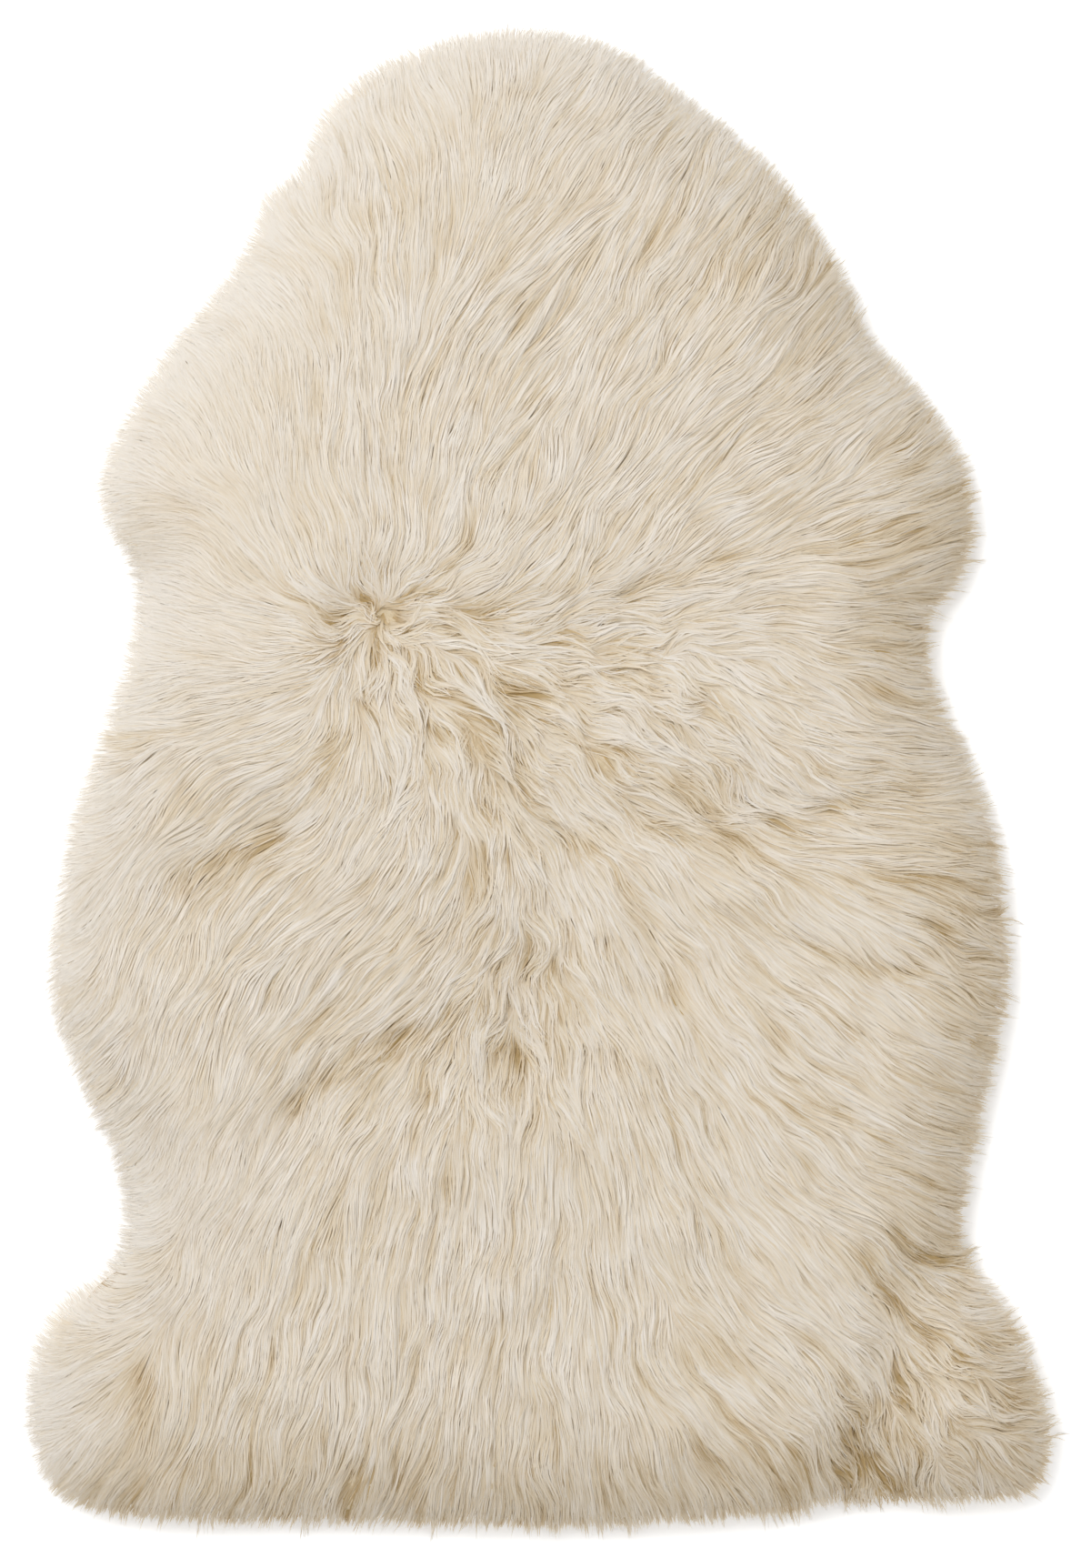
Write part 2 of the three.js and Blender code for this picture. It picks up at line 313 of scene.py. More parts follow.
def combed_towards(points):
    """The tips' direction at each point, from the bands of COMBED."""
    bands = []
    for _, places in COMBED:
        xs = [x for x, _ in places]
        turns = np.radians([heading for _, heading in places])
        parts = [np.interp(points[..., 0], xs, f(turns)) for f in (np.cos, np.sin)]
        bands.append(np.stack(parts, axis=-1))
    bands = np.array(bands)
    ys = np.array([y for y, _ in COMBED], float)
    at = np.interp(-points[..., 1], -ys, np.arange(len(ys)))
    low = np.minimum(at.astype(int), len(ys) - 2)
    share = (at - low)[..., None]
    i, j = np.indices(low.shape)
    return bands[low, i, j] * (1 - share) + bands[low + 1, i, j] * share


def character(points):
    """Fluff, curl and length share at each point."""
    total = np.ones(points.shape[:-1])
    value = np.broadcast_to(np.array(PLAIN), points.shape[:-1] + (3,)).copy()
    for x, y, reach, *row in CHARACTER:
        away = ((points - (x, y)) ** 2).sum(-1) / reach**2
        weight = PULL * np.exp(-away * 1.5)
        value += weight[..., None] * np.array(row)
        total += weight
    return value / total[..., None]


def unit(vectors):
    """The vectors at length 1."""
    return vectors / np.maximum(np.linalg.norm(vectors, axis=-1, keepdims=True), 1e-9)


class Drift:
    """A smooth random field of about unit size, made of waves of about one length."""

    def __init__(self, wavelength, waves=28):
        turns = rng.uniform(0, 2 * np.pi, waves)
        lengths = wavelength * rng.uniform(0.7, 1.5, waves)
        self.k = np.stack([np.cos(turns), np.sin(turns)], axis=1) * (2 * np.pi / lengths)[:, None]
        self.phase = rng.uniform(0, 2 * np.pi, waves)
        self.scale = math.sqrt(2 / waves)

    def __call__(self, points):
        return self.scale * np.cos(points @ self.k.T + self.phase).sum(-1)

    def uphill(self, points):
        """How fast the field rises along x and y at each point."""
        return -self.scale * np.sin(points @ self.k.T + self.phase) @ self.k


NODES = Grid.nodes()
inside_grid = Grid(depth_inside(NODES))
outward_grid = Grid(-np.stack(np.gradient(inside_grid.blurred(6).values, Grid.CELL), axis=-1))
trough_grid = Grid(sinks(NODES, TROUGHS))
crease_grid = Grid(sinks(NODES, CREASES))
wide_crease_grid = Grid(sinks(NODES, [(*line, depth, slope + 8) for *line, depth, slope in CREASES]))
comb_grid = Grid(combed_towards(NODES)).blurred(10)
character_grid = Grid(character(NODES))
swell = Drift(70)
bend_drift = Drift(46)
curl_drift = Drift(24)
tip_drift = Drift(6.5)


def wool_height(points):
    """Height of the wool's surface. Past the rim it hangs down to the floor."""
    inside = inside_grid(points)
    round_over = np.sqrt(1 - (1 - np.clip(inside / SHOULDER, 0, 1)) ** 2)
    rise = CROWN - RIM_HEIGHT - trough_grid(points) + SWELL * swell(points)
    hanging = np.maximum(RIM_HEIGHT + DROOP * inside, 1.0)
    return np.where(inside >= 0, RIM_HEIGHT + rise * round_over, hanging)


def turned(vectors, angle):
    """The vectors turned to the left by an angle in radians."""
    cos, sin = np.cos(angle), np.sin(angle)
    x, y = vectors[..., 0], vectors[..., 1]
    return np.stack([x * cos - y * sin, x * sin + y * cos], axis=-1)


def amount(pair, share):
    """The pair's first value, and that share of its second added."""
    return pair[0] + pair[1] * share


BEND = 7.0  # how far the combed wool bends from its heading at random, in degrees
CURL_BEND = (2.0, 22.0)  # and in finer waves, as what is usual and what is added in curly wool
RIM_TURN = {"reach": 26.0, "pull": 0.9}  # how far in from the rim the wool turns outwards, and how strongly
STANDING = 0.5  # where opposite combing leaves less of its way than this, the wool lies shorter


def lie_of_wool(points):
    """The tips' direction, bent a little at random, outwards at the rim and shorter at the partings."""
    combed = comb_grid(points)
    pace = np.minimum(np.linalg.norm(combed, axis=-1, keepdims=True) / STANDING, 1)
    fine_bend = amount(CURL_BEND, character_grid(points)[..., 1])
    bend = np.radians(BEND * bend_drift(points) + fine_bend * curl_drift(points))
    near_rim = np.clip(1 - inside_grid(points) / RIM_TURN["reach"], 0, 1.2)[..., None]
    way = turned(unit(combed), bend) * pace + RIM_TURN["pull"] * near_rim * unit(outward_grid(points))
    return way / np.maximum(np.linalg.norm(way, axis=-1, keepdims=True), 1)


lie_grid = Grid(lie_of_wool(NODES))


def drawn_out(noise, length):
    """Noise drawn out along the wool: it swells towards the tips and ends short, as locks do."""
    steps = int(length / Grid.CELL)
    at = NODES
    total = np.zeros(noise.values.shape)
    weights = np.zeros(noise.values.shape)
    for i in range(steps):
        lie = lie_grid(at)
        weight = np.linalg.norm(lie, axis=-1) ** 2 * (i + 1) / steps
        total += noise(at) * weight
        weights += weight
        at = at - lie * Grid.CELL
    total /= np.sqrt(np.maximum(weights, 1))
    total -= total.mean()
    return total / total.std()


def white_noise():
    """Unrelated random values, one at each node."""
    return Grid(rng.normal(0, 1, Grid.SHAPE))


# How far up or down locks swell the wool: the usual locks, and longer and broader ones among them.
LOCKS = 0.85 * drawn_out(white_noise(), 54) + 0.35 * drawn_out(white_noise().blurred(2), 80)
lock_grid = Grid(LOCKS)


JAGGED_TOWARDS = np.array([0.6, -0.8])  # to the right and the tail


def jagged_edge(points):
    """How far the edge nearby is of pointed tips rather than soft, from 0 to 1."""
    return np.clip(0.5 + 0.9 * (unit(outward_grid(points)) @ JAGGED_TOWARDS), 0, 1)


def surface_normals(points):
    """Which way the wool's surface faces, with the wall past the rim facing outwards.

    The creases and locks count for less than their full height, and soft edges shade flatter.
    """
    inside = inside_grid(points)
    wall = 4 * np.minimum(inside, 0)
    z = wool_height(points) - 0.4 * crease_grid(points) + 0.6 * LOCKS + wall
    z = z - 12 * np.clip(1 - inside / 100, 0, 1) ** 2
    soft_edge = (1 - jagged_edge(points)) * np.clip(1 - inside / 70, 0, 1)
    steepness = 1.15 - 0.45 * soft_edge[..., None]
    slope = steepness * np.stack(np.gradient(z, Grid.CELL), axis=-1)
    return unit(np.concatenate([-slope, np.ones(z.shape + (1,))], axis=-1))


normal_grid = Grid(surface_normals(NODES)).blurred(3)

# -------- materials


# The tone's colours: the darkest is the fleece's yellower inside and also painted shade, the palest is its
# tips and also painted light.
WOOL_INSIDE_AND_SHADE, WOOL_BODY, WOOL_TIP = (0.57, 0.41, 0.18), (0.82, 0.735, 0.585), (0.888, 0.855, 0.803)
ROOT_TINT_AND_SHADE = (0.90, 0.84, 0.74)  # what a strand's colour is multiplied by at its root: yellower roots, and painted shade where they lie under other wool
ROOT_REACH = 0.55  # how far along the strand that fades out
THROUGH = 0.47  # share of the light that passes through a strand
MATTING = (0.46, 0.37, 0.24), (0.58, 0.49, 0.35)  # the undercoat's darker and paler wool
SUEDE = (0.60, 0.47, 0.32), (0.74, 0.62, 0.46)  # the leather's darker and paler patches
FLOOR_WHITE = (0.98, 0.98, 0.98, 1)
FLOOR_GLOW = 0.12  # keeps the floor white around the rug


def new_material(name, roughness):
    """A material, with its nodes, links and shader."""
    material = bpy.data.materials.new(name)
    material.use_nodes = True
    nodes, links = material.node_tree.nodes, material.node_tree.links
    shader = nodes["Principled BSDF"]
    shader.inputs["Roughness"].default_value = roughness
    return material, nodes, links, shader


def add_ramp(nodes, first, *between, last):
    """A colour ramp node through stops, each a position and a colour."""
    ramp = nodes.new("ShaderNodeValToRGB")
    elements = ramp.color_ramp.elements
    for element, (position, colour) in zip(elements, (first, last)):
        element.position = position
        element.color = (*colour, 1)
    for position, colour in between:
        elements.new(position).color = (*colour, 1)
    return ramp


def add_noise(nodes, links, scale, detail):
    """A noise over the piece."""
    place = nodes.new("ShaderNodeTexCoord")
    noise = nodes.new("ShaderNodeTexNoise")
    noise.inputs["Scale"].default_value = scale
    noise.inputs["Detail"].default_value = detail
    links.new(place.outputs["Object"], noise.inputs["Vector"])
    return noise.outputs["Fac"]


def colour_by(noise, nodes, links, first, last):
    """Colours the shader from one stop to another by the noise."""
    tone = add_ramp(nodes, first, last=last)
    links.new(noise, tone.inputs[0])
    links.new(tone.outputs[0], nodes["Principled BSDF"].inputs["Base Color"])


def raise_by(noise, nodes, links, strength, distance):
    """Gives the shader a bump by the noise. The distance is in millimetres."""
    bump = nodes.new("ShaderNodeBump")
    bump.inputs["Strength"].default_value = strength
    bump.inputs["Distance"].default_value = distance * MM
    links.new(noise, bump.inputs["Height"])
    links.new(bump.outputs[0], nodes["Principled BSDF"].inputs["Normal"])


def wool_colour(nodes, links):
    """The colour of ribbons whose map runs root to tip along V and dark to pale across U."""
    place = nodes.new("ShaderNodeUVMap")
    place.uv_map = "OFBake"
    split = nodes.new("ShaderNodeSeparateXYZ")
    links.new(place.outputs[0], split.inputs[0])
    # roots darker and yellower, partly their own colour and partly painted shade
    along = add_ramp(nodes, (0, ROOT_TINT_AND_SHADE), last=(ROOT_REACH, (1, 1, 1)))
    links.new(split.outputs["Y"], along.inputs[0])
    tone = add_ramp(nodes, (0, WOOL_INSIDE_AND_SHADE), (0.5, WOOL_BODY), last=(1, WOOL_TIP))
    links.new(split.outputs["X"], tone.inputs[0])
    mix = nodes.new("ShaderNodeMix")
    mix.data_type = "RGBA"
    mix.blend_type = "MULTIPLY"
    mix.inputs["Factor"].default_value = 1
    links.new(along.outputs[0], mix.inputs["A"])
    links.new(tone.outputs[0], mix.inputs["B"])
    return mix.outputs["Result"]


def wool_material(name):
    """Wool, which lets some of the light through."""
    material, nodes, links, shader = new_material(name, roughness=0.62)
    shader.inputs["Specular IOR Level"].default_value = 0.2
    colour = wool_colour(nodes, links)
    links.new(colour, shader.inputs["Base Color"])
    through = nodes.new("ShaderNodeBsdfTranslucent")
    links.new(colour, through.inputs["Color"])
    both = nodes.new("ShaderNodeMixShader")
    both.inputs[0].default_value = THROUGH
    links.new(shader.outputs[0], both.inputs[1])
    links.new(through.outputs[0], both.inputs[2])
    links.new(both.outputs[0], nodes["Material Output"].inputs["Surface"])
    return material


def undercoat_material():
    """Matted fine wool, yellower than the tips."""
    material, nodes, links, shader = new_material("undercoat_wool", roughness=0.95)
    shader.inputs["Specular IOR Level"].default_value = 0.1
    matting = add_noise(nodes, links, scale=260, detail=6)
    colour_by(matting, nodes, links, (0.3, MATTING[0]), (0.7, MATTING[1]))
    raise_by(matting, nodes, links, strength=0.6, distance=2)
    return material


def skin_material():
    """Pale tanned suede."""
    material, nodes, links, shader = new_material("tanned_skin", roughness=0.9)
    shader.inputs["Sheen Weight"].default_value = 0.2
    patches = add_noise(nodes, links, scale=9, detail=5)
    colour_by(patches, nodes, links, (0.35, SUEDE[0]), (0.65, SUEDE[1]))
    nap = add_noise(nodes, links, scale=900, detail=3)
    raise_by(nap, nodes, links, strength=0.35, distance=0.6)
    return material


def floor_material():
    """White, with a faint glow."""
    material, _, _, shader = new_material("studio_floor", roughness=0.9)
    shader.inputs["Base Color"].default_value = FLOOR_WHITE
    shader.inputs["Emission Color"].default_value = (1, 1, 1, 1)
    shader.inputs["Emission Strength"].default_value = FLOOR_GLOW
    return material


# -------- meshes


def add_mesh(name, points, loops, starts, material, uv=None, normals=None, smooth=True):
    """An object from points in millimetres and its faces' corners."""
    mesh = bpy.data.meshes.new(name)
    mesh.vertices.add(len(points))
    mesh.vertices.foreach_set("co", (points * MM).astype(np.float32).ravel())
    mesh.loops.add(len(loops))
    mesh.loops.foreach_set("vertex_index", loops.astype(np.int32))
    mesh.polygons.add(len(starts))
    mesh.polygons.foreach_set("loop_start", starts.astype(np.int32))
    if uv is not None:
        layer = mesh.uv_layers.new(name="OFBake")
        layer.uv.foreach_set("vector", uv.astype(np.float32).ravel())
    mesh.update(calc_edges=True)
    mesh.polygons.foreach_set("use_smooth", np.full(len(starts), smooth))
    if normals is not None:
        custom = mesh.attributes.new("custom_normal", "FLOAT_VECTOR", "POINT")
        custom.data.foreach_set("vector", normals.astype(np.float32).ravel())
    mesh.materials.append(material)
    piece = bpy.data.objects.new(name, mesh)
    bpy.context.scene.collection.objects.link(piece)
    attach(piece, "root")
    return piece


def ring_solid(name, rings, material, closed=True, smooth=True):
    """A body of rings of as many points each. Its first and last ring are closed by a face, if at all."""
    count = len(rings[0])
    i = np.arange(count)
    after = (i + 1) % count
    last = count * (len(rings) - 1)
    quads = np.concatenate([
        np.stack([low + i, low + count + i, low + count + after, low + after], axis=1)
        for low in range(0, last, count)
    ])
    loops = quads.ravel()
    starts = np.arange(len(quads)) * 4
    if closed:
        loops = np.concatenate([loops, i, (last + i)[::-1]])
        starts = np.concatenate([starts, [quads.size, quads.size + count]])
    return add_mesh(name, np.concatenate(rings), loops, starts, material, smooth=smooth)


def with_height(ring, z):
    """The ring's points at a height, or at one each."""
    return np.column_stack([ring, np.broadcast_to(z, len(ring))])


# -------- leather and undercoat

BEVEL = 0.6  # how far the leather's cut edge is worn round, above and below
SKIN_RINGS = ((1, 1), (0.99, 0.993), (0.6, 0.75), (0.1, 0.6))  # shares of its edge, from there inwards


def make_skin():
    """The leather, cut a little inside the wool's reach, and its width, length and area in metres."""
    edge = RIM + unit(RIM * CORE - RIM) * OVERHANG
    under = [with_height(edge * share, 0.0) for share in SKIN_RINGS]
    over = [with_height(edge * share, SKIN) for share in SKIN_RINGS]
    under[0][:, 2] = BEVEL
    over[0][:, 2] = SKIN - BEVEL
    piece = ring_solid("skin", under[::-1] + over, skin_material(), smooth=False)
    x, y = edge.T
    area = abs(np.dot(x, np.roll(y, -1)) - np.dot(y, np.roll(x, -1))) / 2 * MM**2
    return piece, tuple(np.ptp(edge, axis=0) * MM), area


UNDERCOAT_FOOT = {"inset": 20.0, "above_skin": 0.2}  # where the undercoat starts on the leather
UNDERCOAT_EDGE = {"inset": 11.0, "height": 6.0}  # where it reaches furthest out
UNDERCOAT_LOWEST = 7.0  # its lowest height inside that edge
UNDERCOAT_RINGS = 18  # from its edge to the core, and as many from the core to the middle
UNDERCOAT_IN_CREASE = 0.5  # how far it sinks for each millimetre of a crease's depth


def make_undercoat():
    """The matted wool close to the leather, which shows between the locks."""
    outward = unit(outward_grid(RIM))
    foot = RIM - UNDERCOAT_FOOT["inset"] * outward
    edge = RIM - UNDERCOAT_EDGE["inset"] * outward
    core = RIM * CORE
    base = with_height(foot, SKIN + UNDERCOAT_FOOT["above_skin"])
    rings = [base * (0.1, 0.6, 1), base * (*CORE, 1), base, with_height(edge, UNDERCOAT_EDGE["height"])]
    top = [edge + (core - edge) * share for share in np.linspace(0.04, 1, UNDERCOAT_RINGS)]
    top += [core * (share, 0.75 + 0.25 * share) for share in np.linspace(0.95, 0.0, UNDERCOAT_RINGS)]
    for ring in top:
        z = wool_height(ring) - UNDERCOAT_IN_CREASE * wide_crease_grid(ring) - WOOL_DEPTH
        rings.append(with_height(ring, np.maximum(z, UNDERCOAT_LOWEST)))
    return ring_solid("undercoat", rings, undercoat_material(), closed=False)


# -------- wool

STRAND_STEPS = 5  # pieces along each strand
ALONG = np.linspace(0, 1, STRAND_STEPS + 1)  # where its points are, from root to tip
LINE_STEPS = 16  # steps in which its way over the pelt is traced
STRAND_SPACING = 2.2
STRAND_LENGTH = 54.0
STRAND_WIDTH = (0.50, 0.85)  # narrowest and widest strand
WISP_SPACING = 4.6
WISPS_LOST_TO_CURL = 0.6  # curly wool has fewer and so larger wisps, by this share
TUFT_SPACING = 15.0
GROUND_SHARE = 0.28  # share of the strands that lie lower, wide and ungathered, and close the gaps
GROUND_WIDTH = (1.5, 2.1)
GROUND_STOPS = 7.0  # how far inside the rim they stop
LOWEST, HIGHEST = 0.7, 57.0
WOOL_PIECES = 5

SIZE_SPREAD = {"tuft": 0.16, "wisp": 0.10}  # how much lengths differ at random from one to the next
SHORTEST, LONGEST = 0.85, 1.15  # and within a wisp, as shares
LEVELLED = 0.65  # how nearly the strands of a tuft start and end level with each other
# Pairs from here on are for amount(): what is usual, and what is added in fluffy, plain or curly wool.
TURN = {"strand": (2, 8), "tuft": (2, 11), "wisp": (2, 6)}  # degrees; fluffy strands, curly tufts and wisps
WAVE = {"reach": 1.3, "turns": 1.1}  # how far and how often curly wisps wave
GATHERED = {"wisp": 0.75, "tuft": (0.10, 0.25)}  # the share of the way to their middles that strands move
GATHERED_MOST = 4.0
WISP_HALF = 3.0  # how far a wisp's side is from its middle

# How strands end at the rim: in pointed groups, or at soft edges one by one. Distances past the rim.
POINTED = {"middle": -4.0, "points": 4.0, "bays": 1.5, "each": 0.6}
SOFT = {"least": 0.6, "usual_more": 1.5, "most_more": 5.0}
LEAN = 0.9  # how strongly pointed tips lean together

# How deep a crease has to be to cut a strand, and how many strands cross it all the same.
CUT_BY = (1.0, 3.2)
SPARED_SHARE, SPARED_DEPTH = 0.12, 9.0
STANDS_UP = {"ground": 0.2, "other": 0.4}  # a strand is cut where the wool's lie is shorter than this

# How high a strand lies over the wool's surface.
LEVEL = {
    "tuft": 0.40,  # at random from one to the next
    "wisp": 0.15,
    "low_in_the_pile": (-0.3, -0.2),  # plain
    "ground": (-0.4, -0.6),  # plain
    "each_ground": -0.5,
    "rise": 0.5,  # from root to tip
    "plain_rise": 1.2,
    "curly_rise": 2.0,
    "tucked_root": -1.2,
    "lock": (0.2, 0.5),  # plain
    "wisp_side": (-0.3, -0.6),  # curly
    "hang": -11.0,  # at random, at the rim
    "crease_at_root": -0.55,  # for each millimetre of depth
    "crease_at_tip": -0.10,
}

# What makes a strand paler or yellower, much of it painted light and shade. The tone runs from 0, the
# fleece's yellower inside and painted shade, to 1, its pale tips and painted light.
TONE = {
    "usual": 0.83,
    # low_in_the_pile and ground: deeper and ground strands are yellower and darker, partly as the fleece's
    # inside and partly as painted shade
    "low_in_the_pile": -0.10,
    "ground": -0.22,
    "tuft": 0.05,  # at random from one to the next
    "wisp": 0.08,
    "strand": 0.06,
    "lock": 0.03,  # painted highlight on the crowns of locks
    # painted shade in the hollows between locks
    "painted_shade_between_locks": -0.20,
    # fluffy wool is paler, partly its own colour and partly painted light on the lit side where it lies
    "fluff": 0.08,
    # painted shade near the rim to the right and the tail, away from the key light, and painted light near
    # the soft rim opposite
    "jagged_edge": -0.30,
    "soft_edge": 0.20,
    "painted_shade_in_troughs": -0.004,  # painted shade, for each millimetre of depth
    # painted shade in creases, partly the fleece's yellower inside showing
    "crease_at_root": -0.12,
    "crease_at_tip": -0.03,
    # painted shade at curly roots, under the tips of the wool before them, and painted highlight on curly
    # tips
    "painted_shade_at_curly_roots": -0.20,
    "painted_highlight_on_curly_tips": 0.12,
    "wisp_side": (-0.08, -0.42),  # curly; painted shade on the sides of wisps, in the slits between them
    "rim_tip": 0.25,
}


def hex_places(spacing, least_inside):
    """Places on a shaken hexagonal grid inside the rim."""
    low, high = RIM.min(0), RIM.max(0)
    rows = np.arange(low[1], high[1], spacing * math.sqrt(3) / 2)
    columns = np.arange(low[0], high[0], spacing)
    x, y = np.meshgrid(columns, rows)
    x = x + (np.arange(len(rows)) % 2)[:, None] * spacing / 2
    places = np.stack([x, y], axis=-1).reshape(-1, 2)
    places += rng.uniform(-0.6, 0.6, places.shape) * spacing
    return places[inside_grid(places) > least_inside]


def trace(middles, length, turn):
    """Each strand's way seen from above, traced along the wool both ways from its middle."""
    half = LINE_STEPS // 2
    step = (length / LINE_STEPS)[:, None]
    line = [middles]
    for _ in range(half):
        line.insert(0, line[0] - turned(lie_grid(line[0]), turn) * step)
    for _ in range(half):
        line.append(line[-1] + turned(lie_grid(line[-1]), turn) * step)
    return np.stack(line, axis=1)


def cut_at_rim(lines, past):
    """The share of each line up to where it is that far past the rim."""
    beyond = inside_grid(lines) < -past[:, None]
    steps = lines.shape[1] - 1
    first = np.where(beyond.any(1), beyond.argmax(1), steps)
    return np.maximum(first / steps, 0.3)


def cut_at_creases(lines, least, least_lie):
    """The shares of each line where it starts and ends.

    It crosses no crease deeper than least, and no place where the wool's lie is shorter than least_lie.
    """
    steps = lines.shape[1] - 1
    half = steps // 2
    deep = crease_grid(lines) > least[:, None]
    deep |= np.linalg.norm(lie_grid(lines), axis=-1) < least_lie[:, None]
    behind, ahead = deep[:, half::-1], deep[:, half:]
    start = np.where(behind.any(1), half - behind.argmax(1), 0)
    end = np.where(ahead.any(1) & ~deep[:, half], half + ahead.argmax(1), steps)
    return start / steps, end / steps


def along_line(lines, shares):
    """Points on each line at shares of it. shares has one row for each line."""
    steps = lines.shape[1] - 1
    at = np.clip(shares, 0, 1) * steps
    low = np.minimum(at.astype(int), steps - 1)
    f = (at - low)[..., None]
    rows = np.arange(len(lines))[:, None]
    return lines[rows, low] * (1 - f) + lines[rows, low + 1] * f


def nearest(places, centres):
    """For each place, the number of the centre nearest to it."""
    tree = KDTree(len(centres))
    for i, (x, y) in enumerate(centres):
        tree.insert((x, y, 0.0), i)
    tree.balance()
    return np.array([tree.find((x, y, 0.0))[1] for x, y in places])


def group_mean(values, group):
    """The mean of the values in each group, given back to each of its members."""
    size = np.maximum(np.bincount(group), 1)
    flat = values.reshape(len(values), -1)
    means = np.stack([np.bincount(group, column) / size for column in flat.T], axis=1)
    return means[group].reshape(values.shape)


def vary(group):
    """A random number for each group, given to each of its members."""
    return rng.normal(0, 1, group.max() + 1)[group]


def fade(root, tip):
    """Values along a strand from its root to its tip."""
    return root + (tip - root) * ALONG


def across_strands(xy):
    """The direction to the left of each strand at each of its points."""
    ahead = unit(np.gradient(xy, axis=1))
    return np.stack([-ahead[..., 1], ahead[..., 0]], axis=-1)


class Strands:
    """Where each strand grows, its wisp and tuft, and what it is like."""

    def __init__(self):
        self.middles = hex_places(STRAND_SPACING, 0.5)
        wisps = hex_places(WISP_SPACING, -2.0)
        curliness = np.clip(character_grid(wisps)[:, 1], 0, 1)
        wisps = wisps[rng.random(len(wisps)) > WISPS_LOST_TO_CURL * curliness]
        tufts = hex_places(TUFT_SPACING, -4.0)
        self.wisp = nearest(self.middles, wisps)
        self.tuft = nearest(wisps, tufts)[self.wisp]
        self.count = len(self.middles)
        self.ground = rng.random(self.count) < GROUND_SHARE
        self.depth = np.where(self.ground, 1.0, rng.random(self.count))
        self.fluff, self.curl, share = character_grid(self.middles).T
        self.plain = 1 - self.fluff
        self.gathered = np.where(self.ground, 0.0, self.plain)
        size = share * np.exp(SIZE_SPREAD["tuft"] * vary(self.tuft) + SIZE_SPREAD["wisp"] * vary(self.wisp))
        self.length = STRAND_LENGTH * size * rng.uniform(SHORTEST, LONGEST, self.count)
        self.level_with(tufts)
        self.turn = self.random_turn()
        self.jagged = jagged_edge(self.middles)

    def level_with(self, tufts):
        """Strands of a tuft start and end about level with each other."""
        lie = unit(lie_grid(tufts))[self.tuft]
        ahead = ((tufts[self.tuft] - self.middles) * lie).sum(1, keepdims=True)
        self.middles = self.middles + lie * ahead * (LEVELLED * self.plain)[:, None]

    def random_turn(self):
        """How far each strand turns aside from the way that the wool is combed, in degrees."""
        alone = amount(TURN["strand"], self.fluff) * rng.normal(0, 1, self.count)
        with_tuft = amount(TURN["tuft"], self.curl) * self.plain * vary(self.tuft)
        with_wisp = amount(TURN["wisp"], self.curl) * self.plain * vary(self.wisp)
        return alone + with_tuft + with_wisp


def reach_past_rim(strands, crossing):
    """How far past the rim each strand goes, from where its line crosses it."""
    pointed = POINTED["middle"] + POINTED["points"] * tip_drift(crossing)
    pointed = pointed + POINTED["bays"] * curl_drift(crossing)
    pointed = pointed + POINTED["each"] * rng.normal(0, 1, strands.count)
    more = np.minimum(rng.exponential(SOFT["usual_more"], strands.count), SOFT["most_more"])
    soft = SOFT["least"] + more
    mixed = strands.jagged * pointed + (1 - strands.jagged) * soft
    return np.where(strands.ground, -GROUND_STOPS, mixed)


def comb(strands):
    """Each strand's points seen from above, and whether the rim cuts it short."""
    count = strands.count
    lines = trace(strands.middles, strands.length, np.radians(strands.turn))
    crossing = along_line(lines, cut_at_rim(lines, np.zeros(count))[:, None])[:, 0]
    whole = cut_at_rim(lines, reach_past_rim(strands, crossing))
    least = rng.uniform(*CUT_BY, count) + SPARED_DEPTH * (rng.random(count) < SPARED_SHARE)
    least = np.where(strands.ground, SPARED_DEPTH, least)
    least_lie = np.where(strands.ground, STANDS_UP["ground"], STANDS_UP["other"])
    start, end = cut_at_creases(lines, least, least_lie)
    end = np.minimum(whole, end + rng.uniform(0, 5, count) / strands.length)
    start = np.minimum(start, end - 0.2)
    xy = along_line(lines, start[:, None] + ALONG * (end - start)[:, None])

    # at the edge the tips lean together into points
    at_rim = whole < 1
    lean = LEAN * (strands.jagged * at_rim)[:, None] * tip_drift.uphill(crossing)
    return xy + lean[:, None] * (ALONG**2)[:, None], at_rim


def waved(strands, xy):
    """Curly wisps wave from side to side, all strands of a wisp together."""
    phase = rng.random(strands.wisp.max() + 1)[strands.wisp][:, None]
    wave = np.sin(2 * np.pi * (WAVE["turns"] * ALONG + phase))
    reach = WAVE["reach"] * np.minimum(strands.curl, 1) * ~strands.ground
    wave = reach[:, None] * wave * np.minimum(2 * ALONG, 1)
    return xy + wave[..., None] * across_strands(xy)


def gathered(strands, xy):
    """Wisps gather to points towards their tips, and tufts a little.

    Also gives how far out on the side of its wisp each point lies.
    """
    to_wisp = group_mean(xy, strands.wisp) - xy
    to_tuft = group_mean(xy, strands.tuft) - xy
    across = across_strands(xy)
    aside = (to_wisp * across).sum(-1)
    wisp_side = strands.gathered[:, None] * np.clip(aside / WISP_HALF, -1.3, 1.3) ** 2
    with_tuft = amount(GATHERED["tuft"], strands.curl[:, None])
    shift = GATHERED["wisp"] * aside + with_tuft * (to_tuft * across).sum(-1)
    shift = np.clip(shift, -GATHERED_MOST, GATHERED_MOST)
    share = strands.gathered[:, None] * ALONG**1.6
    return xy + across * shift[..., None] * share[..., None], wisp_side


